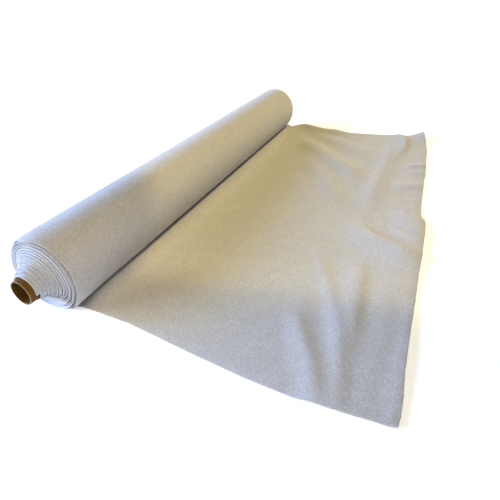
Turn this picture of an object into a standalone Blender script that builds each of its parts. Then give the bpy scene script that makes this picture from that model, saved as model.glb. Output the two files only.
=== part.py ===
"""Roll of fusible fleece on a cardboard core, lying on a surface with its free end drawn out flat.

Frame: +Y along the roll from its telescoped end to its far end, +X the way the free end is drawn
out, +Z up, origin on the surface under the roll's axis at the middle of the cloth's width.
"""
import math

import bmesh
import bpy

CLOTH_WIDTH = 1.143
HALF_WIDTH = CLOTH_WIDTH / 2
FLEECE_THICKNESS = 0.003
FIT_GAP = 0.0003

CORE_RADIUS = 0.0242
CORE_WALL = 0.0025
CORE_LENGTH = 1.143
CORE_NEAR_END = -0.6204
CORE_SEGMENTS = 40

ROLL_RADIUS = 0.0796
ROLL_SEGMENTS = 56
FLAT_SPOT_DEPTH = 0.0006
AXIS_HEIGHT = ROLL_RADIUS - FLAT_SPOT_DEPTH
# Width of one wound turn, a little less than the cloth's width drawn out flat.
TURN_WIDTH = 1.137
# The telescoped end leans back a little at its top, as the core's mouth does, and on the side
# of the free end.
END_LEAN_TOP = 0.0073
END_LEAN_SIDE = 0.0064

# Each step of the telescoped end: the radius where it starts, and how far its cut edge
# stands from the end's plane, with minus towards the core's mouth.
END_STEPS = (
    # name, start_radius, stand
    ("first_turn", CORE_RADIUS + FIT_GAP, -0.0402),
    ("second_turn", 0.0276, -0.0362),
    ("third_turn", 0.0310, -0.0321),
    ("fourth_turn", 0.0344, -0.0279),
    ("fifth_turn", 0.0378, -0.0236),
    ("sixth_turn", 0.0412, -0.0207),
    ("seventh_turn", 0.0446, -0.0184),
    ("eighth_turn", 0.0480, -0.0138),
    ("ninth_turn", 0.0514, -0.0100),
    ("groove", 0.0548, 0.0120),
    ("band_first_turn", 0.0576, -0.0067),
    ("band_second_turn", 0.0606, -0.0038),
    ("band_third_turn", 0.0640, -0.0010),
    ("band_fourth_turn", 0.0675, 0.0002),
    ("band_fifth_turn", 0.0710, 0.0014),
    ("shoulder_turn", 0.0745, 0.0045),
    ("outer_turn", 0.0772, 0.0125),
)
# Steps whose other edge is followed into the hollow of the far end.
FAR_STEPS = ("first_turn", "third_turn", "fifth_turn", "seventh_turn", "ninth_turn",
             "band_second_turn", "band_fourth_turn", "shoulder_turn")

# Plan outline of the free end: its telescoped-side edge runs along x, its cut edge along y.
NEAR_EDGE = (
    # x, y
    (0.020, -0.5600), (0.055, -0.5550), (0.080, -0.5520), (0.155, -0.5550), (0.230, -0.5630),
    (0.300, -0.5695), (0.400, -0.5770), (0.480, -0.5790), (0.545, -0.5760), (0.585, -0.5700),
    (0.608, -0.5640),
)
CUT_EDGE = (
    # y, x
    (-0.5700, 0.6080), (-0.5550, 0.6155), (-0.4560, 0.6155), (-0.3000, 0.6190), (-0.1140, 0.6210),
    (-0.0700, 0.6215), (-0.0350, 0.6170), (-0.0030, 0.6090), (0.0770, 0.6060), (0.2900, 0.6050),
    (0.4500, 0.6000), (0.5250, 0.5920), (0.5745, 0.5790),
)
FAR_EDGE_Y = 0.5745

# Folds of the free end, each a long soft swell: crest centre, heading of the crest from +X,
# reach along and across the crest, and height.
SWELLS = (
    # name, x, y, heading_deg, along, across, height
    ("far_edge_hump", 0.115, 0.600, 95, 0.100, 0.060, 0.0175),
    ("far_ridge", 0.290, 0.450, -30, 0.130, 0.030, 0.0090),
    ("far_edge_lift", 0.390, 0.590, 0, 0.060, 0.030, 0.0040),
    ("middle_ridge", 0.250, 0.295, -45, 0.120, 0.035, 0.0060),
    ("middle_right_ridge", 0.420, 0.160, -50, 0.110, 0.040, 0.0065),
    ("low_ridge", 0.310, 0.095, -48, 0.090, 0.040, 0.0050),
    ("corner_hump", 0.515, 0.512, -47, 0.060, 0.025, 0.0080),
    ("corner_curl", 0.605, 0.615, 90, 0.055, 0.042, 0.0400),
    ("notch_swell", 0.600, -0.070, -70, 0.070, 0.026, 0.0080),
    ("cut_end_slope", 0.592, -0.190, 90, 0.100, 0.050, 0.0080),
    ("near_ridge_left", 0.478, -0.508, -65, 0.080, 0.020, 0.0070),
    ("near_ridge_middle", 0.525, -0.428, -85, 0.100, 0.022, 0.0060),
    ("near_ridge_right", 0.575, -0.418, -90, 0.100, 0.020, 0.0050),
    ("near_edge_lip", 0.583, -0.583, 0, 0.040, 0.014, 0.0040),
    ("cut_edge_curl", 0.618, -0.455, 90, 0.090, 0.014, 0.0060),
)
SHEET_COLUMNS = 30
SHEET_ROWS = 46
FIRST_COLUMN_SHARE = 0.7
SWELL_FLOOR = 0.0004
ROLL_CLEARANCE = 0.0018

FLEECE_COLOUR = (0.76, 0.71, 0.61, 1.0)
CARDBOARD_COLOUR = (0.30, 0.19, 0.08, 1.0)


def clear_scene():
    for obj in list(bpy.data.objects):
        bpy.data.objects.remove(obj, do_unlink=True)


def make_collection(name):
    collection = bpy.data.collections.new(name)
    bpy.context.scene.collection.children.link(collection)
    return collection


def make_material(name, colour, roughness):
    material = bpy.data.materials.new(name)
    material.use_nodes = True
    shader = material.node_tree.nodes["Principled BSDF"]
    shader.inputs["Base Color"].default_value = colour
    shader.inputs["Roughness"].default_value = roughness
    shader.inputs["Metallic"].default_value = 0.0
    material.diffuse_color = colour
    return material


def along_table(table, at):
    """Value of a two-column table at one place, in straight steps between its rows."""
    for (low, start), (high, end) in zip(table, table[1:]):
        if at <= high:
            share = max(0.0, (at - low) / (high - low))
            return start + (end - start) * share
    return table[-1][1]


def turned_object(name, profile, segments, collection, material):
    """Closed ring turned from (radius, stand along the roll) points, outer side first."""
    mesh = bpy.data.meshes.new(name)
    count = len(profile)
    edges = [(i, (i + 1) % count) for i in range(count)]
    mesh.from_pydata([(radius, 0.0, stand) for radius, stand in profile], edges, [])
    turned = bpy.data.objects.new(name, mesh)
    turned.rotation_euler = (-math.pi / 2, 0.0, 0.0)
    turned.location = (0.0, 0.0, AXIS_HEIGHT)
    screw = turned.modifiers.new("Turn", "SCREW")
    screw.axis = "Z"
    screw.angle = 2 * math.pi
    screw.steps = segments
    screw.render_steps = segments
    screw.use_merge_vertices = True
    screw.merge_threshold = 0.00001
    mesh.materials.append(material)
    collection.objects.link(turned)
    return turned


def baked(turned, collection):
    """The turned object as a plain mesh in the same place, so that its points can be moved."""
    bpy.context.view_layer.update()
    evaluated = turned.evaluated_get(bpy.context.evaluated_depsgraph_get())
    mesh = bpy.data.meshes.new_from_object(evaluated)
    name, place = turned.name, turned.matrix_world.copy()
    bpy.data.objects.remove(turned, do_unlink=True)
    solid = bpy.data.objects.new(name, mesh)
    solid.matrix_world = place
    mesh.name = name
    collection.objects.link(solid)
    return solid


def smooth(obj, angle_deg):
    obj.data.shade_smooth()
    obj.data.set_sharp_from_angle(angle=math.radians(angle_deg))


def roll_profile():
    """Section of the wound cloth: outer side, telescoped end, bore, and the far end's hollow."""
    near = -HALF_WIDTH
    points = []
    outer = ROLL_RADIUS
    for index in range(len(END_STEPS) - 1, -1, -1):
        _, start_radius, stand = END_STEPS[index]
        points.append((outer, near + stand))
        points.append((start_radius, near + stand))
        outer = start_radius
    far_stands = [(radius, near + stand + TURN_WIDTH)
                  for name, radius, stand in END_STEPS if name in FAR_STEPS]
    for index, (radius, stand) in enumerate(far_stands):
        points.append((radius, stand))
        if index + 1 < len(far_stands):
            points.append((far_stands[index + 1][0], stand))
    points.append((ROLL_RADIUS, far_stands[-1][1]))
    return points


def lean_near_end(solid, lean_top, lean_side):
    """Leans the telescoped end of a turned solid back, by so much at the roll's radius."""
    for vertex in solid.data.vertices:
        if vertex.co.z < 0:
            side = vertex.co.x / ROLL_RADIUS
            top = -vertex.co.y / ROLL_RADIUS
            vertex.co.z += lean_top * top + lean_side * side


def cut_flat_spot(roll, cutters):
    """Takes a thin slice off the underside, where the roll's weight flattens it."""
    depth, margin = 0.02, 0.05
    bpy.ops.mesh.primitive_cube_add(size=1.0, location=(0.0, 0.0, -depth / 2))
    cutter = bpy.context.object
    cutter.name = "flat_spot_cutter"
    cutter.scale = (4 * ROLL_RADIUS, CLOTH_WIDTH + 4 * margin, depth)
    for owner in list(cutter.users_collection):
        owner.objects.unlink(cutter)
    cutters.objects.link(cutter)
    cutter.hide_render = True
    cutter.display_type = "WIRE"
    cut = roll.modifiers.new("Flat spot", "BOOLEAN")
    cut.operation = "DIFFERENCE"
    cut.object = cutter


def build_roll(parts, cutters, fleece):
    roll = baked(turned_object("wound_roll", roll_profile(), ROLL_SEGMENTS, parts, fleece), parts)
    lean_near_end(roll, END_LEAN_TOP, END_LEAN_SIDE)
    smooth(roll, 40)
    cut_flat_spot(roll, cutters)
    return roll


def build_core(parts, cardboard):
    inner = CORE_RADIUS - CORE_WALL
    far_end = CORE_NEAR_END + CORE_LENGTH
    profile = [(CORE_RADIUS, far_end), (CORE_RADIUS, CORE_NEAR_END),
               (inner, CORE_NEAR_END), (inner, far_end)]
    core = baked(turned_object("core_tube", profile, CORE_SEGMENTS, parts, cardboard), parts)
    lean_near_end(core, END_LEAN_TOP, 0.0)
    smooth(core, 40)
    return core


def sheet_start():
    """Distance from the roll's axis, in plan, at which the cloth's upper side clears the roll."""
    drop = AXIS_HEIGHT - FLEECE_THICKNESS - 2 * FIT_GAP
    return math.sqrt(ROLL_RADIUS ** 2 - drop ** 2) + FIT_GAP


def swell_height(x, y):
    """Height of the free end's underside over the surface."""
    height = 0.0
    for _, centre_x, centre_y, heading_deg, along, across, top in SWELLS:
        heading = math.radians(heading_deg)
        dx, dy = x - centre_x, y - centre_y
        forward = dx * math.cos(heading) + dy * math.sin(heading)
        aside = dy * math.cos(heading) - dx * math.sin(heading)
        height += top * math.exp(-0.5 * ((forward / along) ** 2 + (aside / across) ** 2))
    height = max(0.0, height - SWELL_FLOOR)
    reach = ROLL_RADIUS + FLEECE_THICKNESS + ROLL_CLEARANCE
    if x < reach:
        under_roll = AXIS_HEIGHT - math.sqrt(reach ** 2 - x ** 2)
        height = min(height, max(0.0, under_roll))
    return height


def build_loose_end(parts, fleece):
    mesh = bpy.data.meshes.new("loose_end")
    start = sheet_start()
    cloth = bmesh.new()
    bmesh.ops.create_grid(cloth, x_segments=SHEET_COLUMNS, y_segments=SHEET_ROWS, size=0.5)
    for vertex in cloth.verts:
        across, along = vertex.co.x + 0.5, vertex.co.y + 0.5
        across *= FIRST_COLUMN_SHARE + (1 - FIRST_COLUMN_SHARE) * across
        y = -HALF_WIDTH + (FAR_EDGE_Y + HALF_WIDTH) * along
        x = start + (along_table(CUT_EDGE, y) - start) * across
        near_y = along_table(NEAR_EDGE, x)
        y = near_y + (FAR_EDGE_Y - near_y) * along
        vertex.co = (x, y, swell_height(x, y))
    bmesh.ops.recalc_face_normals(cloth, faces=cloth.faces)
    if sum(face.normal.z for face in cloth.faces) < 0:
        bmesh.ops.reverse_faces(cloth, faces=cloth.faces)
    cloth.to_mesh(mesh)
    cloth.free()
    loose_end = bpy.data.objects.new("loose_end", mesh)
    mesh.materials.append(fleece)
    parts.objects.link(loose_end)
    smooth(loose_end, 60)
    shell = loose_end.modifiers.new("Fleece thickness", "SOLIDIFY")
    shell.thickness = FLEECE_THICKNESS
    shell.offset = 1.0
    shell.use_even_offset = False
    return loose_end


def main():
    clear_scene()
    parts = make_collection("fusible_fleece_roll")
    cutters = make_collection("cutters")
    fleece = make_material("fleece", FLEECE_COLOUR, 0.95)
    cardboard = make_material("cardboard", CARDBOARD_COLOUR, 0.85)
    build_roll(parts, cutters, fleece)
    build_core(parts, cardboard)
    build_loose_end(parts, fleece.copy())


main()
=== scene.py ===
"""Looks of a roll of fusible fleece on a cardboard core, with its free end drawn out flat.

Frame: +Y along the roll from its telescoped end to its far end, +X the way the free end is drawn
out, +Z up, origin on the surface under the roll's axis at the middle of the cloth's width.
"""

import math

import bpy
import numpy as np
from mathutils import Matrix, Vector


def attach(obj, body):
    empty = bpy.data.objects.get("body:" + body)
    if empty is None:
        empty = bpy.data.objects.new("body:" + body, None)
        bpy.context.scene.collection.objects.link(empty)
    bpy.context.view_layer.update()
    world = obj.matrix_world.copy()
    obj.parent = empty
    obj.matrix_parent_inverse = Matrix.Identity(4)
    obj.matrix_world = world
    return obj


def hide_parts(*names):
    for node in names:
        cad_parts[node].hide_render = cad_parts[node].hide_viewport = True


# Camera, at the photograph's place and angle.
CAMERA_PLACE = (0.56525, -0.84000, 0.46322)
CAMERA_AZIMUTH = 27.661
CAMERA_ELEVATION = 35.982
CAMERA_ROLL = -4.705
CAMERA_LENS = 24.970
CAMERA_SENSOR = 36.0
CAMERA_CLIP = (0.01, 200.0)

# Soft area lamps.
LIGHTS = (
    # name, place, target, size, power, colour
    ("window_low", (-2.3, -0.9, 1.05), (0.0, 0.0, 0.05), (1.4, 1.0), 40.0, (0.04, 0.20, 1.0)),
    ("window_high", (-2.1, -0.6, 1.5), (0.0, 0.0, 0.05), (1.4, 1.0), 17.0, (0.16, 0.54, 1.0)),
    ("near_window", (-1.6, -1.7, 0.85), (0.0, -0.3, 0.05), (1.1, 0.8), 37.0, (0.66, 0.79, 1.0)),
    ("near_fill", (0.42, -1.10, 0.85), (0.14, -0.50, 0.0), (0.3, 0.3), 2.3, (1.0, 0.88, 0.72)),
    ("ceiling", (0.30, -0.30, 1.85), (0.3, -0.3, 0.0), (0.9, 0.9), 7.0, (1.0, 0.87, 0.56)),
    ("far_ceiling", (0.9, 2.8, 2.6), (0.3, 0.1, 0.0), (0.9, 0.9), 12.0, (1.0, 0.86, 0.50)),
)
# Spot lamps. The far one's lit area ends across the free end.
SPOTS = (
    # name, place, target, radius, cone_deg, blend, power, colour
    ("far_lamp", (1.9, 4.4, 4.6), (0.65, 3.4, 0.0), 0.03, 66.5, 0.03, 640.0, (1.0, 0.79, 0.33)),
    ("near_lamp", (0.80, -0.72, 0.78), (0.12, -0.48, 0.0), 0.10, 23.0, 1.0, 3.6, (1.0, 0.86, 0.76)),
)
SKY_COLOUR = (0.02, 0.02, 0.02, 1.0)
PALE_COLOUR = (0.90, 0.90, 0.90, 1.0)
GLOW_COLOUR = (0.94, 0.97, 1.0, 1.0)
FLOOR_GLOW = 0.24
# The backdrop glows most around one heading, beyond the object as seen from the photo's side. Its
# glow falls off between two angles aside of that heading.
BACKDROP_GLOW = 0.72
SIDE_GLOW = 0.12
BACKDROP_HEADING = 118.0
BACKDROP_ANGLES = (50.0, 76.0)
# The floor is a disc with flat rings, and its rim bends up into the backdrop.
FLOOR_SEGMENTS = 96
FLOOR_LEVEL = -0.0004
FLAT_RINGS = (0.6, 2.0, 3.2)
BEND_START = 3.6
BEND_SIZE = 0.8
BACKDROP_TOP = 1.5

# Two colours for each material to vary between.
FACE_COLOURS = ((0.64, 0.62, 0.59, 1.0), (0.71, 0.695, 0.67, 1.0))
# The cut edges get lighter colours than the faces of the same white fleece: a painted highlight
# along the edges.
LIT_EDGE_COLOURS = ((0.68, 0.665, 0.65, 1.0), (0.78, 0.77, 0.76, 1.0))
BOARD_COLOURS = ((0.28, 0.165, 0.036, 1.0), (0.15, 0.082, 0.017, 1.0))
RIM_COLOURS = ((0.44, 0.36, 0.23, 1.0), (0.30, 0.22, 0.12, 1.0))
BORE_COLOURS = ((0.27, 0.160, 0.014, 1.0), (0.13, 0.070, 0.008, 1.0))
# The cut edges have less fuzz than the faces.
EDGE_FUZZ = 0.4
UV_NAME = "cloth"

# Sizes shared with the part's solids.
CLOTH_WIDTH = 1.143
NEAR_PLANE = -CLOTH_WIDTH / 2
FAR_EDGE_Y = 0.5745
THICKNESS = 0.003
ROLL_RADIUS = 0.0796
AXIS_HEIGHT = 0.0790
TURN_WIDTH = 1.137
CORE_RADIUS = 0.0242
CORE_WALL = 0.0025
CORE_NEAR_END = -0.6204
CORE_FAR_END = 0.5226
# How far back towards the far end the near end leans at its top, at the roll's radius.
LEAN_TOP = 0.0073

# The core's mesh. Its rows are close together over a length at its near and its far end.
CORE_SEGMENTS = 96
CORE_FINE_LENGTH = 0.075
CORE_NEAR_ROWS = 40
CORE_FAR_ROWS = 24
CORE_MIDDLE_ROWS = (0.2, 0.45, 0.7, 0.95)
CORE_RIM = (
    # share of the wall from the bore, how far the rounding draws back
    (1.0, 0.0006), (0.93, 0.0002), (0.75, 0.0), (0.5, 0.0), (0.25, 0.0), (0.07, 0.0002),
    (0.0, 0.0006),
)
# The helical joint of the core's plies: its rise per turn, depth and width.
JOINT_RISE = 0.105
JOINT_DEPTH = 0.00022
JOINT_WIDTH = 0.0012
# Small dents at the core's near end: height, cells per radian, length of a cell and seed.
CORE_DENTS = (0.00015, 3.0, 0.03, 41)
CORE_DENT_REACH = 0.02
# Half the spacing of the lines between the plies on the rim.
PLY_HALF = 0.00032

# The wound cloth is one spiral. Turn 0 starts on the core at START_ANGLE, and angles grow from +X
# over the top, so that the last turn leaves the roll at its underside, towards +X.
START_ANGLE = -12.0
LAST_TURN = 15 + (270.0 - START_ANGLE) / 360.0
OUTER_PIECE_START = LAST_TURN - 1.03
TURN_STATIONS = 112
# Rows of points along the roll between the two cut edges, in the inner turns and the outer one.
INNER_ROWS = 2
OUTER_ROWS = 180
# The loosely wound turns sit a little off the core's centre.
TURN_SHIFT = (-0.0020, 0.0029)
# Least gap between two turns, and the limits of the thickness of a turn under another one.
TURN_GAP = 0.00012
PRESSED_THICKNESS = 0.0014
LOOSE_THICKNESS = 0.0042
# How far the roll's weight presses it flat on the surface, and how soon that dies out upwards.
PRESS_DEPTH = 0.0016
PRESS_FADE = 0.012
TURNS = (
    # turn, inner_radius, share of the shift
    (0, 0.0245, 0.00), (1, 0.0275, 0.35), (2, 0.0304, 0.70), (3, 0.0328, 1.00),
    (4, 0.0354, 1.00), (5, 0.0384, 1.00), (6, 0.0418, 1.00), (7, 0.0452, 1.00),
    (8, 0.0490, 1.00), (9, 0.0534, 1.00), (10, 0.0585, 1.00), (11, 0.0619, 0.90),
    (12, 0.0654, 0.75), (13, 0.0690, 0.60), (14, 0.0727, 0.35), (15, 0.0757, 0.10),
    (16, 0.0781, 0.00),
)
# The first turns step up in the last part of each turn, ever less until this many turns.
STEP_PART = (0.80, 1.0)
STEPPED_TURNS = 5.0
# The turn next to the band is dented on the side away from the free end. The length is in turns.
DENT_TURN = 9.46
DENT_DEPTH = 0.0020
DENT_LENGTH = 0.07
# The band's edge tucks in around an angle.
TUCK_ANGLE = 122.0
TUCK_SPREAD = 30.0
TUCK_DEPTH = 0.0024
TUCK_TURNS = (12.0, 15.3)
TUCK_FADE = 0.007
# The cut edges of the outer turns gape apart.
GAPE_SHARE = 0.42
GAPE_TURNS = (11.0, 12.5)
GAPE_FADE = 0.006
# The section of a cut edge, and how far from it the plain rows begin.
EDGE_ROUND = (
    # share of the thickness from the inner side, how far the rounding draws back
    (0.0, 0.0062), (0.06, 0.0040), (0.18, 0.0020), (0.34, 0.0007), (0.5, 0.0001), (0.74, 0.0),
    (0.90, 0.0002), (0.97, 0.0006), (1.0, 0.0014),
)
EDGE_DEPTH = 0.0064
# The cone's edges are less rounded around an angle, up to where the cone ends.
CLOSED_ANGLE = 125.0
CLOSED_SPREAD = 55.0
CLOSED_SHARE = 0.7
CONE_END = (9.0, 9.8)
# How far the cut edge of each inner turn stands from the near plane, and how much its free-end
# side and its top stand on from that.
CONE_STANDS = (-0.0400, -0.0345, -0.0284, -0.0220, -0.0167, -0.0143, -0.0129, -0.0100, -0.0060,
               -0.0042)
CONE_LEAN = (0.0011, 0.0015)
# The turns over which the cone's edges give way to the band's.
BAND_START = (9.0, 10.0)
# Cut edges of the outer band: its first turn, a turn in its middle and the last turn.
BAND_TURNS = (10.0, 13.5, 14.7)
BAND_STANDS = (
    # angle_deg, first, middle, last
    (-90, -0.0075, -0.0080, -0.0032), (-80, -0.0069, -0.0080, -0.0020),
    (-70, -0.0063, -0.0080, -0.0005), (-60, -0.0056, -0.0081, -0.0010),
    (-50, -0.0049, -0.0082, -0.0030), (-37, -0.0039, -0.0078, -0.0055),
    (-25, -0.0031, -0.0062, -0.0043), (-16, -0.0025, -0.0040, -0.0003),
    (-6, -0.0018, -0.0019, 0.0021), (7, -0.0011, -0.0010, 0.0038),
    (20, -0.0007, 0.0002, 0.0062), (32, -0.0004, 0.0016, 0.0060),
    (45, -0.0003, 0.0030, 0.0062), (66, -0.0005, 0.0030, 0.0054),
    (76, -0.0009, 0.0018, 0.0038), (87, -0.0013, -0.0002, -0.0006),
    (96, -0.0018, -0.0014, -0.0026), (110, -0.0027, -0.0032, -0.0008),
    (125, -0.0038, -0.0022, 0.0028), (140, -0.0049, -0.0018, 0.0052),
    (148, -0.0054, -0.0022, 0.0040), (160, -0.0063, -0.0040, 0.0002),
    (167, -0.0068, -0.0052, -0.0018), (176, -0.0073, -0.0066, -0.0046),
    (190, -0.0080, -0.0080, -0.0060), (215, -0.0087, -0.0090, -0.0080),
    (240, -0.0086, -0.0090, -0.0080), (255, -0.0081, -0.0085, -0.0058),
    (270, -0.0075, -0.0080, -0.0032),
)
# Every second turn of the band stands back, most of all around an angle.
BAND_RIPPLE = 0.0016
RIPPLE_CREST = 15.0
RIPPLE_TURNS = (9.8, 11.2)
RIPPLE_ANGLE = -5.0
RIPPLE_SPREAD = 75.0
RIPPLE_REST = 0.35
# At the end of the last turn the edge draws over to the free end's.
LEAVING_STAND = 0.0105
LEAVING_TURNS = 0.30
# Unevenness of the near cut edges, of the far ones and of the turns near their edge.
CUT_WAVES = (
    # height, cell along the edge, cells per turn, seed
    (0.00045, 0.016, 3.1, 11), (0.0003, 0.005, 5.3, 12),
)
# Height, cells per turn along and across the noise, and seed.
FAR_WAVE = (0.0005, 40.0, 7.0, 13)
WOBBLE = (0.00022, 31.0, 2.7, 14)
WOBBLE_TURNS = (2.0, 5.0)
WOBBLE_REACH = 0.03
# Unevenness of the roll's outside, which is calm near its ends, and one wrinkle.
OUTSIDE_WAVES = (
    # height, cell around the roll, cell along it, seed
    (0.00025, 0.05, 0.11, 21), (0.00012, 0.02, 0.03, 22),
)
CALM_ENDS = 0.03
WRINKLE_PLACE = 0.485
WRINKLE_ANGLE = 62.0
WRINKLE_SPREAD = 30.0
WRINKLE_SLANT = 0.0002
WRINKLE_HEIGHT = 0.0006
WRINKLE_WIDTH = 0.004

# Plan outline of the free end.
NEAR_EDGE = (
    # x, y
    (0.000, -0.5615), (0.020, -0.5610), (0.055, -0.5585), (0.080, -0.5560), (0.155, -0.5560),
    (0.230, -0.5630), (0.300, -0.5695), (0.400, -0.5770), (0.480, -0.5790), (0.545, -0.5760),
    (0.585, -0.5722), (0.604, -0.5715), (0.612, -0.5700), (0.617, -0.5665),
)
CUT_EDGE = (
    # y, x
    (-0.5700, 0.6160), (-0.5550, 0.6175), (-0.4560, 0.6155), (-0.3000, 0.6190), (-0.1140, 0.6210),
    (-0.0700, 0.6215), (-0.0330, 0.6200), (-0.0200, 0.6115), (-0.0030, 0.6085), (0.0770, 0.6060),
    (0.2900, 0.6050), (0.4500, 0.6000), (0.5250, 0.5920), (0.5745, 0.5790),
)
CUT_END_WAVES = (
    # height, cell along the cut end, seed
    (0.0006, 0.03, 31), (0.0004, 0.008, 32),
)
CUT_WAVE_START = 0.55
# The free end's grid, before its outline bends it: size, steps, and the finer places at its rim.
SHEET_LENGTH = 0.61
SHEET_WIDTH = 1.14
COLUMN_STEP = 0.0040
ROW_STEP = 0.0045
RIM_PLACES = (0.0, 0.0003, 0.0008, 0.0015)
COLUMN_SHIFT = 0.030
SHIFT_FADE = 0.1
# How much thinner the cloth is at its edges, and how far in from them.
THINNING = 0.4
THINNING_REACH = 0.008
SWELL_FLOOR = 0.0004
# The cloth stands off the surface where it comes out from under the roll, less at its near edge.
LIFT_HEIGHT = 0.0210
LIFT_PLACE = 0.048
LIFT_WIDTH = 0.019
LIFT_REST = 0.15
LIFT_RISE = (-0.562, -0.500)
# Clearances from the roll of the cloth's lower and upper side, and the least height of the upper.
BASE_CLEAR = 0.0004
TOP_CLEAR = 0.0002
LEAST_TOP = 0.0012
# The large swells of the free end, close to the solid's.
SWELLS = (
    # x, y, heading_deg, along, across, height
    (0.105, 0.600, 95, 0.100, 0.050, 0.0148),
    (0.290, 0.450, -30, 0.130, 0.030, 0.0050),
    (0.390, 0.590, 0, 0.060, 0.030, 0.0025),
    (0.250, 0.295, -45, 0.120, 0.035, 0.0030),
    (0.420, 0.160, -50, 0.110, 0.040, 0.0040),
    (0.310, 0.095, -48, 0.090, 0.040, 0.0030),
    (0.515, 0.512, -47, 0.060, 0.025, 0.0060),
    (0.605, 0.615, 90, 0.055, 0.042, 0.0400),
    (0.600, -0.070, -70, 0.070, 0.026, 0.0060),
    (0.592, -0.190, 90, 0.100, 0.050, 0.0050),
    (0.478, -0.508, -65, 0.080, 0.020, 0.0030),
    (0.525, -0.428, -85, 0.100, 0.022, 0.0030),
    (0.575, -0.418, -90, 0.100, 0.020, 0.0040),
    (0.583, -0.583, 0, 0.040, 0.014, 0.0040),
    (0.618, -0.455, 90, 0.090, 0.014, 0.0060),
)
# Folds and creases. A crest runs through its points, with one width on the left of that way and
# one on the right, and dies out over a share of its length at both ends.
FOLD_FADE = 0.3
FOLDS = (
    # height, left_width, right_width, points
    (0.0130, 0.024, 0.027, ((0.12, 0.51), (0.20, 0.405), (0.26, 0.345), (0.33, 0.265),
                            (0.39, 0.20), (0.44, 0.10))),
    (0.0080, 0.022, 0.020, ((0.20, 0.30), (0.28, 0.195), (0.33, 0.125), (0.38, 0.04),
                            (0.41, -0.05))),
    (0.0035, 0.017, 0.020, ((0.22, 0.14), (0.29, 0.045), (0.35, -0.05))),
    (0.0030, 0.017, 0.020, ((0.17, 0.57), (0.25, 0.485), (0.37, 0.42))),
    (0.0125, 0.040, 0.020, ((0.07, 0.610), (0.13, 0.578), (0.20, 0.560), (0.26, 0.562),
                            (0.33, 0.590))),
    (0.0062, 0.020, 0.016, ((0.488, 0.62), (0.484, 0.30), (0.480, 0.10), (0.476, -0.06))),
    (0.0018, 0.010, 0.010, ((0.25, 0.370), (0.35, 0.375), (0.46, 0.385))),
    (0.0062, 0.010, 0.011, ((0.545, 0.284), (0.580, 0.303), (0.640, 0.322))),
    (0.0044, 0.009, 0.009, ((0.553, 0.234), (0.585, 0.247), (0.640, 0.252))),
    (0.0060, 0.022, 0.014, ((0.525, 0.128), (0.565, 0.150), (0.650, 0.172))),
    (0.0022, 0.007, 0.007, ((0.555, 0.100), (0.585, 0.104), (0.640, 0.112))),
    (0.0026, 0.007, 0.007, ((0.555, 0.060), (0.585, 0.063), (0.640, 0.060))),
    (0.0026, 0.007, 0.007, ((0.560, 0.020), (0.590, 0.018), (0.640, 0.010))),
    (0.0036, 0.007, 0.008, ((0.555, -0.010), (0.585, -0.035), (0.640, -0.060))),
    (0.0036, 0.007, 0.008, ((0.550, -0.045), (0.580, -0.075), (0.645, -0.105))),
    (0.0032, 0.007, 0.008, ((0.540, -0.080), (0.575, -0.108), (0.645, -0.135))),
    (0.0130, 0.013, 0.030, ((0.45, -0.06), (0.505, -0.135), (0.550, -0.167), (0.590, -0.180),
                            (0.68, -0.195))),
    (0.0036, 0.010, 0.012, ((0.390, -0.16), (0.435, -0.27), (0.480, -0.37), (0.505, -0.44),
                            (0.530, -0.53), (0.545, -0.63))),
    (0.0046, 0.011, 0.022, ((0.500, -0.20), (0.513, -0.29), (0.520, -0.36), (0.526, -0.43),
                            (0.533, -0.51))),
    (0.0036, 0.011, 0.012, ((0.410, -0.395), (0.453, -0.468), (0.487, -0.524), (0.520, -0.63))),
    (0.0085, 0.011, 0.014, ((0.465, 0.64), (0.515, 0.53), (0.525, 0.45), (0.512, 0.33))),
)


def smoothstep(low, high, value):
    share = np.clip((value - low) / (high - low), 0.0, 1.0)
    return share * share * (3 - 2 * share)


def bell(distance, width):
    return np.exp(-(distance / width) ** 2)


def table_curve(table, at):
    places, values = np.array(table, float).T
    return np.interp(at, places, values)


def lattice(seed, size=64):
    return np.random.default_rng(seed).uniform(-1.0, 1.0, (size, size))


def soft_noise(x, y, seed):
    """Smooth value noise from -1 to 1 with cells one unit wide."""
    grid = lattice(seed)
    size = grid.shape[0]
    x, y = np.broadcast_arrays(np.asarray(x, float), np.asarray(y, float))
    column, row = np.floor(x), np.floor(y)
    fx, fy = x - column, y - row
    fx, fy = fx * fx * (3 - 2 * fx), fy * fy * (3 - 2 * fy)
    i, j = column.astype(int) % size, row.astype(int) % size
    i2, j2 = (i + 1) % size, (j + 1) % size
    low = grid[i, j] * (1 - fx) + grid[i2, j] * fx
    high = grid[i, j2] * (1 - fx) + grid[i2, j2] * fx
    return low * (1 - fy) + high * fy


def mesh_object(name, points, faces, slots, materials, uvs=None, smooth_deg=60):
    mesh = bpy.data.meshes.new(name)
    mesh.from_pydata([tuple(p) for p in points], [], [tuple(int(i) for i in f) for f in faces])
    for material in materials:
        mesh.materials.append(material)
    mesh.polygons.foreach_set("material_index", np.asarray(slots, np.int32))
    if uvs is not None:
        layer = mesh.uv_layers.new(name=UV_NAME)
        corner = np.empty(len(mesh.loops), np.int32)
        mesh.loops.foreach_get("vertex_index", corner)
        layer.data.foreach_set("uv", np.asarray(uvs, np.float32)[corner].ravel())
    mesh.validate()
    mesh.shade_smooth()
    mesh.set_sharp_from_angle(angle=math.radians(smooth_deg))
    made = bpy.data.objects.new(name, mesh)
    bpy.context.scene.collection.objects.link(made)
    return made


# The wound cloth.

def turn_angle(turn):
    return np.radians(START_ANGLE + 360.0 * turn)


def turn_degrees(turn):
    return np.degrees(turn_angle(turn)) % 360.0


def turn_noise(turn, height, along, across, seed):
    """Unevenness along the spiral, with its cells counted per turn."""
    return height * soft_noise(turn * along, turn * across, seed)


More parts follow.
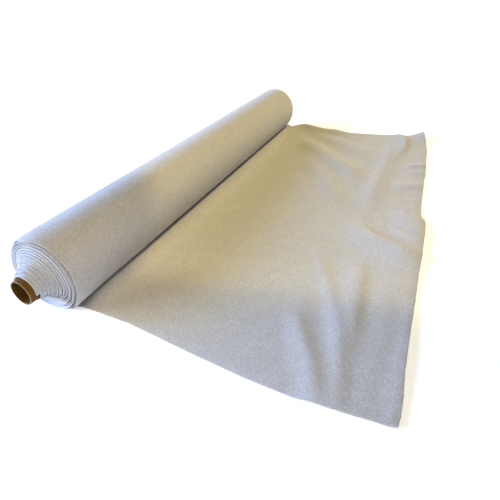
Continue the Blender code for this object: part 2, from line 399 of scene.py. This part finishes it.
def inner_radius(turn):
    """Radius of the cloth's inner side, measured from the roll's axis."""
    turns, radii, shares = np.array(TURNS, float).T
    whole = np.floor(turn)
    part = turn - whole
    # The first turns step up over the cloth's own starting edge.
    sudden = smoothstep(*STEP_PART, part)
    calm = np.clip(whole / STEPPED_TURNS, 0.0, 1.0)
    radius = np.interp(whole + part * calm + sudden * (1 - calm), turns, radii)
    radius = radius - DENT_DEPTH * bell(turn - DENT_TURN, DENT_LENGTH)
    angle = turn_angle(turn)
    shift = TURN_SHIFT[0] * np.cos(angle) + TURN_SHIFT[1] * np.sin(angle)
    return radius + np.interp(turn, turns, shares) * shift


def turn_thickness(turn):
    """The cloth fills the room up to the next turn, within limits."""
    room = inner_radius(np.minimum(turn + 1, LAST_TURN)) - inner_radius(turn) - TURN_GAP
    free = turn + 1 > LAST_TURN
    return np.where(free, THICKNESS, np.clip(room, PRESSED_THICKNESS, LOOSE_THICKNESS))


def edge_stand(turn, radius):
    """How far the cut edge stands from the near plane, towards the far end."""
    angle = turn_angle(turn)
    degrees = turn_degrees(turn)
    degrees = np.where(degrees > 270.0, degrees - 360.0, degrees)
    lean = CONE_LEAN[0] * np.cos(angle) + CONE_LEAN[1] * np.sin(angle)
    cone = np.interp(turn, range(len(CONE_STANDS)), CONE_STANDS) + lean
    angles, *stands = np.array(BAND_STANDS, float).T
    first, middle, last = (np.interp(degrees, angles, stand) for stand in stands)
    to_middle = np.clip((turn - BAND_TURNS[0]) / (BAND_TURNS[1] - BAND_TURNS[0]), 0, 1)
    to_last = smoothstep(BAND_TURNS[1], BAND_TURNS[2], turn)
    band = (first * (1 - to_middle) + middle * to_middle) * (1 - to_last) + last * to_last
    to_band = smoothstep(*BAND_START, turn)
    stand = cone * (1 - to_band) + band * to_band
    leaving = smoothstep(LAST_TURN - LEAVING_TURNS, LAST_TURN, turn)
    stand = stand * (1 - leaving) + LEAVING_STAND * leaving
    side = np.exp(-((degrees - RIPPLE_ANGLE) / RIPPLE_SPREAD) ** 4)
    side = RIPPLE_REST + (1 - RIPPLE_REST) * side
    ripple = -BAND_RIPPLE * np.cos(math.pi * (turn - RIPPLE_CREST)) * smoothstep(
        *RIPPLE_TURNS, turn)
    stand = stand + ripple * side * (1 - leaving)
    arc = angle * radius
    wave = sum(height * soft_noise(arc / cell, turn * across, seed)
               for height, cell, across, seed in CUT_WAVES)
    return stand + wave * (1 - leaving)


def wound_places(turn, radius, y):
    """Points on the roll, pressed a little flat where it lies on the surface."""
    angle = turn_angle(turn)
    x = radius * np.cos(angle)
    z = AXIS_HEIGHT + radius * np.sin(angle)
    z = z + PRESS_DEPTH * np.exp(-(z + PRESS_DEPTH) / PRESS_FADE)
    return np.stack([x, y, np.maximum(z, 0.0)], axis=-1)


def strip_profile(turn, body_rows):
    """Radius, place along the roll and share of the thickness around the strip's section."""
    degrees = turn_degrees(turn)
    inner = inner_radius(turn)
    near = NEAR_PLANE + edge_stand(turn, inner)
    far = near + TURN_WIDTH + turn_noise(turn, *FAR_WAVE)
    round_share, round_back = np.array(EDGE_ROUND, float).T
    # The cone's turns lie closer together at their cut edges over the top, away from the free end.
    closed = bell(degrees - CLOSED_ANGLE, CLOSED_SPREAD) * (1 - smoothstep(*CONE_END, turn))
    near_y = near + round_back * (1 - CLOSED_SHARE * closed)
    rows = np.linspace(0.0, 1.0, body_rows + 2)[1:-1]
    body_y = (near + EDGE_DEPTH) + (far - near - 2 * EDGE_DEPTH) * rows
    y = np.concatenate([near_y, body_y, far - round_back[::-1]], axis=1)
    share = np.concatenate([round_share, np.ones(body_rows), round_share[::-1]])
    from_edge = np.clip(y - near, 0, None)
    # The outer turns stand apart at their cut edges.
    gape = GAPE_SHARE * smoothstep(*GAPE_TURNS, turn) * np.exp(-from_edge / GAPE_FADE)
    radius = inner + turn_thickness(turn) * (share * (1 - gape) + gape)
    wobble = turn_noise(turn, *WOBBLE) * smoothstep(*WOBBLE_TURNS, turn)
    radius = radius + wobble * np.clip(1 - (y - near) / WOBBLE_REACH, 0, 1)
    # The band's edge draws in where it turns over the top and away from the free end.
    tuck = TUCK_DEPTH * smoothstep(*TUCK_TURNS, turn) * bell(degrees - TUCK_ANGLE, TUCK_SPREAD)
    return radius - tuck * np.exp(-from_edge / TUCK_FADE), y, share


def wound_strip(name, start, end, body_rows, materials, swell=None):
    """The cloth from one turn to another, as one closed strip with rounded cut edges."""
    count = int(round((end - start) * TURN_STATIONS)) + 1
    turn = np.linspace(start, end, count)[:, None]
    radius, y, share = strip_profile(turn, body_rows)
    if swell is not None:
        radius = radius + swell(turn, y) * share
    points = wound_places(np.broadcast_to(turn, y.shape), radius, y)
    loop = y.shape[1]
    step = np.linalg.norm(np.diff(points[:, loop // 2], axis=0), axis=1)
    arc = np.concatenate([[0.0], np.cumsum(step)])
    uvs = np.stack([np.broadcast_to(arc[:, None], y.shape), y], axis=-1).reshape(-1, 2)
    index = np.arange(count * loop).reshape(count, loop)
    following = np.roll(index, -1, axis=1)
    quads = np.stack([index[:-1], following[:-1], following[1:], index[1:]], axis=-1)
    faces = [*quads.reshape(-1, 4), index[0][::-1], index[-1]]
    edge_faces = len(EDGE_ROUND) - 1
    slots = np.zeros(loop, int)
    slots[:edge_faces] = slots[-1 - edge_faces:-1] = 1
    slots = np.append(np.tile(slots, count - 1), [1, 1])
    return mesh_object(name, points.reshape(-1, 3), faces, slots, materials, uvs)


def outside_swell(turn, y):
    """Slight unevenness of the roll's outside, and a faint wrinkle near its far end."""
    arc = turn_angle(turn) * ROLL_RADIUS
    shape = sum(height * soft_noise(arc / around, y / along, seed)
                for height, around, along, seed in OUTSIDE_WAVES)
    aside = turn_degrees(turn) - WRINKLE_ANGLE
    wrinkle = WRINKLE_HEIGHT * bell(y - WRINKLE_PLACE - aside * WRINKLE_SLANT, WRINKLE_WIDTH)
    wrinkle = wrinkle * bell(aside, WRINKLE_SPREAD)
    ends = smoothstep(0.0, CALM_ENDS, y - NEAR_PLANE) * smoothstep(0.0, CALM_ENDS, FAR_EDGE_Y - y)
    return (shape + wrinkle) * ends


# The free end.

def smooth_line(points, steps=10):
    """Points on a smooth line through the given ones."""
    points = np.array(points, float)
    guides = np.vstack([2 * points[0] - points[1], points, 2 * points[-1] - points[-2]])
    t = np.linspace(0.0, 1.0, steps, endpoint=False)[:, None]
    line = []
    for a, b, c, d in zip(guides[:-3], guides[1:-2], guides[2:-1], guides[3:]):
        line.append(0.5 * (2 * b + (c - a) * t + (2 * a - 5 * b + 4 * c - d) * t ** 2
                           + (3 * b - a - 3 * c + d) * t ** 3))
    return np.vstack(line + [points[-1:]])


def fold_share(x, y, line, left_width, right_width):
    """1 on a fold's crest, dying out aside of it and towards both its ends."""
    nearest = np.full(x.shape, np.inf)
    signed = np.zeros(x.shape)
    place = np.zeros(x.shape)
    count = len(line) - 1
    for k in range(count):
        way = line[k + 1] - line[k]
        dx, dy = x - line[k, 0], y - line[k, 1]
        part = np.clip((dx * way[0] + dy * way[1]) / (way @ way), 0.0, 1.0)
        off = np.hypot(dx - part * way[0], dy - part * way[1])
        closer = off < nearest
        side = np.where(way[0] * dy - way[1] * dx > 0, 1.0, -1.0)
        nearest = np.where(closer, off, nearest)
        signed = np.where(closer, side * off, signed)
        place = np.where(closer, (k + part) / count, place)
    width = np.where(signed > 0, left_width, right_width)
    ends = smoothstep(0.0, FOLD_FADE, np.minimum(place, 1 - place))
    return np.exp(-0.5 * (signed / width) ** 2) * ends


def swell_height(x, y):
    """Height of the free end's underside over the surface, from its swells and folds."""
    height = np.zeros_like(x)
    for centre_x, centre_y, heading_deg, along, across, top in SWELLS:
        heading = math.radians(heading_deg)
        dx, dy = x - centre_x, y - centre_y
        forward = dx * math.cos(heading) + dy * math.sin(heading)
        aside = dy * math.cos(heading) - dx * math.sin(heading)
        height += top * np.exp(-0.5 * ((forward / along) ** 2 + (aside / across) ** 2))
    for top, left_width, right_width, points in FOLDS:
        height += top * fold_share(x, y, smooth_line(points), left_width, right_width)
    return np.maximum(0.0, height - SWELL_FLOOR)


def under_roll(x, clear):
    """Height of the roll's underside over the surface at a distance from its axis, in plan."""
    turn = np.linspace(LAST_TURN - 1.0, LAST_TURN - 0.75, 200)
    radius = inner_radius(turn) + THICKNESS + clear
    outside = wound_places(turn, radius, 0 * turn)
    reach = outside[:, 0].argmax()
    return np.interp(x, outside[:reach, 0], outside[:reach, 2], right=1.0)


def rim_steps(length, step):
    """Places along one side of the sheet, finer at both ends for the rounded rim."""
    start, end = np.array(RIM_PLACES), length - np.array(RIM_PLACES)[::-1]
    count = int(round((end[0] - start[-1]) / step)) + 1
    middle = np.linspace(start[-1], end[0], count)
    return np.concatenate([start, middle[1:-1], end])


def free_end_places():
    """Plan places of the free end's grid, and each one's share of the way across and along it."""
    columns = rim_steps(SHEET_LENGTH, COLUMN_STEP)
    # There is no rim under the roll, and the columns are closer together towards the cut end.
    columns = columns[len(RIM_PLACES) - 1:] - columns[len(RIM_PLACES) - 1]
    shift = COLUMN_SHIFT * np.sin(math.pi * columns / SHEET_LENGTH)
    columns = columns + shift * smoothstep(0.0, SHIFT_FADE, columns) * smoothstep(
        0.0, SHIFT_FADE, SHEET_LENGTH - columns)
    rows = rim_steps(SHEET_WIDTH, ROW_STEP)
    across, along = np.meshgrid(columns / columns[-1], rows / rows[-1], indexing="ij")
    x = table_curve(CUT_EDGE, NEAR_PLANE + (FAR_EDGE_Y - NEAR_PLANE) * along) * across
    near_y = table_curve(NEAR_EDGE, x)
    y = near_y + (FAR_EDGE_Y - near_y) * along
    wave = sum(height * soft_noise(y / cell, 0 * y, seed) for height, cell, seed in CUT_END_WAVES)
    return x + wave * smoothstep(CUT_WAVE_START, 1.0, across), y, across, along


def free_end_heights(x, y, nearest):
    """Heights of the free end's upper and lower side, with the distance to its edge given."""
    base = swell_height(x, y)
    lift = LIFT_HEIGHT * (LIFT_REST + (1 - LIFT_REST) * smoothstep(*LIFT_RISE, y))
    base = np.maximum(base, lift * np.exp(-0.5 * ((x - LIFT_PLACE) / LIFT_WIDTH) ** 2))
    base = np.minimum(base, np.maximum(0.0, under_roll(x, BASE_CLEAR) - THICKNESS))
    top = np.minimum(base + THICKNESS, np.maximum(under_roll(x, TOP_CLEAR), LEAST_TOP))
    # The cloth is thinner towards its edges, and its rim is round.
    thick = (top - base) * (1 - THINNING * bell(nearest, THINNING_REACH))
    fullness = np.sqrt(np.clip(1 - (1 - np.clip(nearest / RIM_PLACES[-1], 0, 1)) ** 2, 0, 1))
    middle, half = base + thick / 2, thick / 2 * fullness
    return middle + half, middle - half


def cells(grid):
    """The four corners of each cell of a grid."""
    return np.stack([grid[:-1, :-1], grid[1:, :-1], grid[1:, 1:], grid[:-1, 1:]], axis=-1)


def build_free_end(materials):
    x, y, across, along = free_end_places()
    nearest = np.minimum((1.0 - across) * SHEET_LENGTH,
                         np.minimum(along, 1.0 - along) * SHEET_WIDTH)
    points = np.concatenate([np.stack([x, y, z], axis=-1).reshape(-1, 3)
                             for z in free_end_heights(x, y, nearest)])
    index = np.arange(x.size).reshape(x.shape)
    # The two sides share their points along the rim.
    below = np.where(nearest <= 1e-9, index, index + x.size)
    quads = np.stack([cells(index), cells(below)[..., [0, 3, 2, 1]]], axis=2).reshape(-1, 4)
    under_end = np.concatenate([index[0], below[0][-2:0:-1]])
    used = np.unique(quads)
    renumber = np.full(len(points), -1)
    renumber[used] = np.arange(len(used))
    faces = [*renumber[quads], renumber[under_end]]
    rim_cell = cells(nearest).max(axis=-1) <= RIM_PLACES[-1] + 1e-6
    slots = np.append(np.repeat(rim_cell.ravel(), 2).astype(int), 1)
    points = points[used]
    return mesh_object("drawn_out_fleece", points, faces, slots, materials, points[:, :2])


# The cardboard core.

def build_core(materials):
    angle = np.linspace(0.0, 2 * math.pi, CORE_SEGMENTS, endpoint=False)[:, None]
    near_y = CORE_NEAR_END + LEAN_TOP * np.sin(angle) * CORE_RADIUS / ROLL_RADIUS
    length = CORE_FAR_END - CORE_NEAR_END
    rows = np.concatenate([
        np.linspace(0.0, CORE_FINE_LENGTH, CORE_NEAR_ROWS), CORE_MIDDLE_ROWS,
        length - np.linspace(CORE_FINE_LENGTH, 0.0, CORE_FAR_ROWS)]) / length
    rim_share, rim_back = np.array(CORE_RIM, float).T
    outer_y = near_y + rim_back[0] + (CORE_FAR_END - near_y - 2 * rim_back[0]) * rows
    far_rim_y = CORE_FAR_END - rim_back[1:-1] + 0 * angle
    near_rim_y = near_y + rim_back[-2:0:-1]
    y = np.concatenate([outer_y, far_rim_y, outer_y[:, ::-1], near_rim_y], axis=1)
    wall_share = np.concatenate([
        np.ones(len(rows)), rim_share[1:-1], np.zeros(len(rows)), rim_share[-2:0:-1]])
    radius = (CORE_RADIUS - CORE_WALL) + CORE_WALL * wall_share
    # The plies are wound as a helix, and the butt joint of a ply leaves a shallow groove.
    phase = (y / JOINT_RISE - angle / (2 * math.pi)) % 1.0
    groove = JOINT_DEPTH * bell(np.minimum(phase, 1 - phase) * JOINT_RISE, JOINT_WIDTH)
    radius = radius - groove * (wall_share > 0.99) + groove * (wall_share < 0.01)
    height, around, along, seed = CORE_DENTS
    dent = height * soft_noise(angle * around, y / along, seed)
    radius = radius + dent * smoothstep(CORE_DENT_REACH, 0.0, y - near_y)
    points = np.stack([radius * np.cos(angle), y, AXIS_HEIGHT + radius * np.sin(angle)], axis=-1)
    count, loop = y.shape
    index = np.arange(count * loop).reshape(count, loop)
    onward, beside = np.roll(index, -1, axis=1), np.roll(index, -1, axis=0)
    quads = np.stack([index, onward, np.roll(beside, -1, axis=1), beside], axis=-1)
    # The loop runs along the outside, over the far rim, back along the bore and over the near rim.
    far_rim = len(rows) - 1
    bore = len(rows) + len(CORE_RIM) - 2
    near_rim = bore + len(rows) - 1
    slots = np.zeros(loop, int)
    slots[far_rim:bore] = slots[near_rim:] = 1
    slots[bore:near_rim] = 2
    uvs = np.stack([np.broadcast_to(angle * CORE_RADIUS, y.shape), y], axis=-1).reshape(-1, 2)
    return mesh_object("cardboard_core", points.reshape(-1, 3), quads.reshape(-1, 4),
                       np.tile(slots, count), materials, uvs, smooth_deg=50)


# Materials.

def new_material(name):
    material = bpy.data.materials.new(name)
    material.use_nodes = True
    return material, material.node_tree


def fill_inputs(tree, made, inputs):
    """Give a node's inputs their plain values, or link them to (node, output) pairs."""
    for key, value in inputs.items():
        if isinstance(value, tuple) and isinstance(value[0], bpy.types.Node):
            tree.links.new(value[0].outputs[value[1]], made.inputs[key])
        else:
            made.inputs[key].default_value = value


def fill_shader(tree, inputs):
    fill_inputs(tree, tree.nodes["Principled BSDF"], inputs)


def node(tree, kind, inputs, **settings):
    made = tree.nodes.new(kind)
    for key, value in settings.items():
        setattr(made, key, value)
    fill_inputs(tree, made, inputs)
    return made


def object_place(tree):
    return node(tree, "ShaderNodeTexCoord", {}), "Object"


def fibre_place(tree, scale, rotation):
    """Places on the laid-out sheet, stretched and turned for its fibres."""
    sheet = node(tree, "ShaderNodeUVMap", {}, uv_map=UV_NAME), "UV"
    return node(tree, "ShaderNodeMapping", {
        "Vector": sheet, "Scale": (*scale, 1.0), "Rotation": (0.0, 0.0, rotation)}), "Vector"


def noise_value(tree, place, scale, detail, roughness, distortion=0.0):
    return node(tree, "ShaderNodeTexNoise", {
        "Vector": place, "Scale": scale, "Detail": detail, "Roughness": roughness,
        "Distortion": distortion}), "Fac"


def math_value(tree, operation, *inputs):
    return node(tree, "ShaderNodeMath", dict(enumerate(inputs)), operation=operation), "Value"


def vector_math(tree, operation, output, *inputs):
    return node(tree, "ShaderNodeVectorMath", dict(enumerate(inputs)), operation=operation), output


def ranged_value(tree, source, to_range, from_range=(0.0, 1.0), **settings):
    """A value carried over from one range to another."""
    return node(tree, "ShaderNodeMapRange", {
        "Value": source, "From Min": from_range[0], "From Max": from_range[1],
        "To Min": to_range[0], "To Max": to_range[1]}, **settings), "Result"


def mixed_colour(tree, share, first, second, blend_type="MIX"):
    """Two colours mixed. The node's sockets go by number, because their names repeat."""
    return node(tree, "ShaderNodeMix", {0: share, 6: first, 7: second}, data_type="RGBA",
                blend_type=blend_type), 2


def bumped_normal(tree, height, strength, distance):
    return node(tree, "ShaderNodeBump", {
        "Height": height, "Strength": strength, "Distance": distance}), "Normal"


def fleece_material(name, base, light, fuzz=1.0):
    """Needled fleece: fine tangled fibres, small pebbles with painted shade in the hollows between
    them, and faint mottling.
    """
    material, tree = new_material(name)
    place = object_place(tree)
    mottle = noise_value(tree, place, 38.0, 3.0, 0.55)
    fine = noise_value(tree, place, 420.0, 4.0, 0.65)
    fibres = noise_value(tree, fibre_place(tree, (260.0, 1500.0), 0.35), 1.0, 5.0, 0.7, 1.2)
    pebble = node(tree, "ShaderNodeTexVoronoi", {
        "Vector": place, "Scale": 330.0, "Randomness": 0.9, "Smoothness": 0.6},
        feature="SMOOTH_F1"), "Distance"
    blend = math_value(tree, "MULTIPLY_ADD", fine, 0.55,
                       math_value(tree, "MULTIPLY", mottle, 0.45))
    share = ranged_value(tree, blend, (0.0, 1.0), (0.28, 0.72))
    # Painted shade: the colour is darkened towards the low ground between the pebbles, where the
    # bump below sinks.
    pebble_shade = ranged_value(tree, pebble, (1.0, 0.80), (0.05, 0.55))
    colour = mixed_colour(tree, 1.0, mixed_colour(tree, share, base, light), pebble_shade, "MULTIPLY")
    heights = math_value(tree, "MULTIPLY_ADD", fibres, 0.5,
                         math_value(tree, "MULTIPLY", pebble, -0.8))
    fill_shader(tree, {
        "Base Color": colour,
        "Normal": bumped_normal(tree, heights, 0.55 * fuzz, 0.0009),
        "Roughness": ranged_value(tree, fine, (0.88, 1.0)),
        "Specular IOR Level": 0.18,
        "Sheen Weight": 0.30,
        "Sheen Roughness": 0.45,
        "Sheen Tint": (0.95, 0.97, 1.0, 1.0)})
    return material


def ply_lines(tree, place):
    """Darker lines between the board's plies, by their distance from the roll's axis."""
    split = node(tree, "ShaderNodeSeparateXYZ", {"Vector": place})
    height = math_value(tree, "SUBTRACT", (split, "Z"), AXIS_HEIGHT)
    flat = node(tree, "ShaderNodeCombineXYZ", {"X": (split, "X"), "Y": height}), "Vector"
    ply = math_value(tree, "PINGPONG", vector_math(tree, "LENGTH", "Value", flat), PLY_HALF)
    return ranged_value(tree, ply, (0.62, 1.0), (0.0, 0.00012))


def cardboard_material(name, base, dark, layered=False):
    """Brown board: paper fibres, stains and, on its rim, the plies."""
    material, tree = new_material(name)
    place = object_place(tree)
    fibres = noise_value(tree, fibre_place(tree, (300.0, 1400.0), 0.6), 1.0, 5.0, 0.65)
    stain = noise_value(tree, place, 70.0, 4.0, 0.6)
    share = ranged_value(tree, math_value(tree, "ADD", fibres, stain), (0.0, 1.0), (0.75, 1.25))
    colour = mixed_colour(tree, share, dark, base)
    if layered:
        colour = mixed_colour(tree, 1.0, colour, ply_lines(tree, place), "MULTIPLY")
    fill_shader(tree, {
        "Base Color": colour,
        "Normal": bumped_normal(tree, fibres, 0.35, 0.0002),
        "Roughness": ranged_value(tree, stain, (0.62, 0.85)),
        "Specular IOR Level": 0.35})
    return material


# Stage, lights and camera.

def backdrop_glow(tree):
    """Strength of the backdrop's glow, bright around one heading and dimmer aside of it."""
    heading = math.radians(BACKDROP_HEADING)
    way = vector_math(tree, "NORMALIZE", "Vector", object_place(tree))
    towards = vector_math(tree, "DOT_PRODUCT", "Value", way,
                          (math.cos(heading), math.sin(heading), 0.0))
    near, far = (math.cos(math.radians(angle)) for angle in BACKDROP_ANGLES)
    return ranged_value(tree, towards, (SIDE_GLOW, BACKDROP_GLOW), (far, near),
                        interpolation_type="SMOOTHSTEP")


def pale_material(name, glow):
    """The stage's pale material. Its glow is a number, or a function that makes its nodes."""
    material, tree = new_material(name)
    fill_shader(tree, {
        "Base Color": PALE_COLOUR,
        "Roughness": 0.9,
        "Specular IOR Level": 0.1,
        "Emission Color": GLOW_COLOUR,
        "Emission Strength": glow(tree) if callable(glow) else glow})
    return material


def build_floor():
    """A pale round floor whose rim curves up into a low backdrop."""
    count = FLOOR_SEGMENTS
    bend = np.linspace(0.0, math.pi / 2, 13)
    radius = np.concatenate([FLAT_RINGS, BEND_START + BEND_SIZE * np.sin(bend),
                             [BEND_START + BEND_SIZE]])
    height = np.concatenate([np.zeros(len(FLAT_RINGS)), BEND_SIZE - BEND_SIZE * np.cos(bend),
                             [BACKDROP_TOP]]) + FLOOR_LEVEL
    angle = np.linspace(0.0, 2 * math.pi, count, endpoint=False)
    points = [(0.0, 0.0, FLOOR_LEVEL)]
    points += [(r * math.cos(a), r * math.sin(a), h) for r, h in zip(radius, height)
               for a in angle]
    faces = [(0, 1 + i, 1 + (i + 1) % count) for i in range(count)]
    slots = [0] * count
    for ring in range(len(radius) - 1):
        low, high = 1 + ring * count, 1 + (ring + 1) * count
        faces += [(low + i, high + i, high + (i + 1) % count, low + (i + 1) % count)
                  for i in range(count)]
        slots += [int(ring >= len(FLAT_RINGS) - 1)] * count
    materials = (pale_material("pale_floor", FLOOR_GLOW),
                 pale_material("pale_backdrop", backdrop_glow))
    mesh_object("floor", points, faces, slots, materials)


def put_lamp(light, place, target, power, colour):
    light.energy = power
    light.color = colour
    lamp = bpy.data.objects.new(light.name, light)
    lamp.location = place
    aim = Vector(target) - Vector(place)
    lamp.rotation_euler = aim.to_track_quat("-Z", "Y").to_euler()
    bpy.context.scene.collection.objects.link(lamp)


def build_lights():
    for name, place, target, size, power, colour in LIGHTS:
        light = bpy.data.lights.new(name, "AREA")
        light.shape = "RECTANGLE"
        light.size, light.size_y = size
        put_lamp(light, place, target, power, colour)
    for name, place, target, radius, cone_deg, blend, power, colour in SPOTS:
        light = bpy.data.lights.new(name, "SPOT")
        light.shadow_soft_size = radius
        light.spot_size = math.radians(cone_deg)
        light.spot_blend = blend
        put_lamp(light, place, target, power, colour)
    world = bpy.data.worlds.new("studio")
    world.use_nodes = True
    fill_inputs(world.node_tree, world.node_tree.nodes["Background"],
                {"Color": SKY_COLOUR, "Strength": 1.0})
    bpy.context.scene.world = world


def build_camera():
    azimuth, elevation, roll = map(math.radians, (CAMERA_AZIMUTH, CAMERA_ELEVATION, CAMERA_ROLL))
    back = Vector((math.sin(azimuth) * math.cos(elevation),
                   -math.cos(azimuth) * math.cos(elevation), math.sin(elevation)))
    level_right = Vector((math.cos(azimuth), math.sin(azimuth), 0.0))
    level_up = back.cross(level_right)
    right = level_right * math.cos(roll) + level_up * math.sin(roll)
    up = level_up * math.cos(roll) - level_right * math.sin(roll)
    data = bpy.data.cameras.new("camera")
    data.sensor_fit = "HORIZONTAL"
    data.sensor_width = CAMERA_SENSOR
    data.lens = CAMERA_LENS
    data.clip_start, data.clip_end = CAMERA_CLIP
    camera = bpy.data.objects.new("camera", data)
    camera.matrix_world = Matrix((
        (right.x, up.x, back.x, CAMERA_PLACE[0]),
        (right.y, up.y, back.y, CAMERA_PLACE[1]),
        (right.z, up.z, back.z, CAMERA_PLACE[2]),
        (0.0, 0.0, 0.0, 1.0)))
    bpy.context.scene.collection.objects.link(camera)
    bpy.context.scene.camera = camera


def dress(piece, nodes):
    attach(piece, "root")
    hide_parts(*nodes)


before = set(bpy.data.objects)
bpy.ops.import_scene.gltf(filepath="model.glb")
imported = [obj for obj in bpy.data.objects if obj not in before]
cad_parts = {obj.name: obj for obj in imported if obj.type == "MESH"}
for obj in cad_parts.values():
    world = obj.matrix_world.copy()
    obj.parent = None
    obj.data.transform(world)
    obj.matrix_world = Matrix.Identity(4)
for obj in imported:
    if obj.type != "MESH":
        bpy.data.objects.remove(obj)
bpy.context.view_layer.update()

bpy.context.scene.view_settings.view_transform = "Standard"
bpy.context.scene.view_settings.look = "High Contrast"
build_camera()
build_lights()
build_floor()

fleece = (fleece_material("fleece_face", *FACE_COLOURS),
          fleece_material("fleece_cut_edge", *LIT_EDGE_COLOURS, fuzz=EDGE_FUZZ))
board = (cardboard_material("board_face", *BOARD_COLOURS),
         cardboard_material("board_rim", *RIM_COLOURS, layered=True),
         cardboard_material("board_bore", *BORE_COLOURS))

turns = wound_strip("wound_turns", 0.0, OUTER_PIECE_START, INNER_ROWS, fleece)
outer = wound_strip("outer_turn", OUTER_PIECE_START, LAST_TURN, OUTER_ROWS, fleece, outside_swell)
free_end = build_free_end(fleece)
core = build_core(board)

dress(turns, ["wound_roll"])
dress(outer, ["wound_roll"])
dress(free_end, ["loose_end"])
dress(core, ["core_tube"])
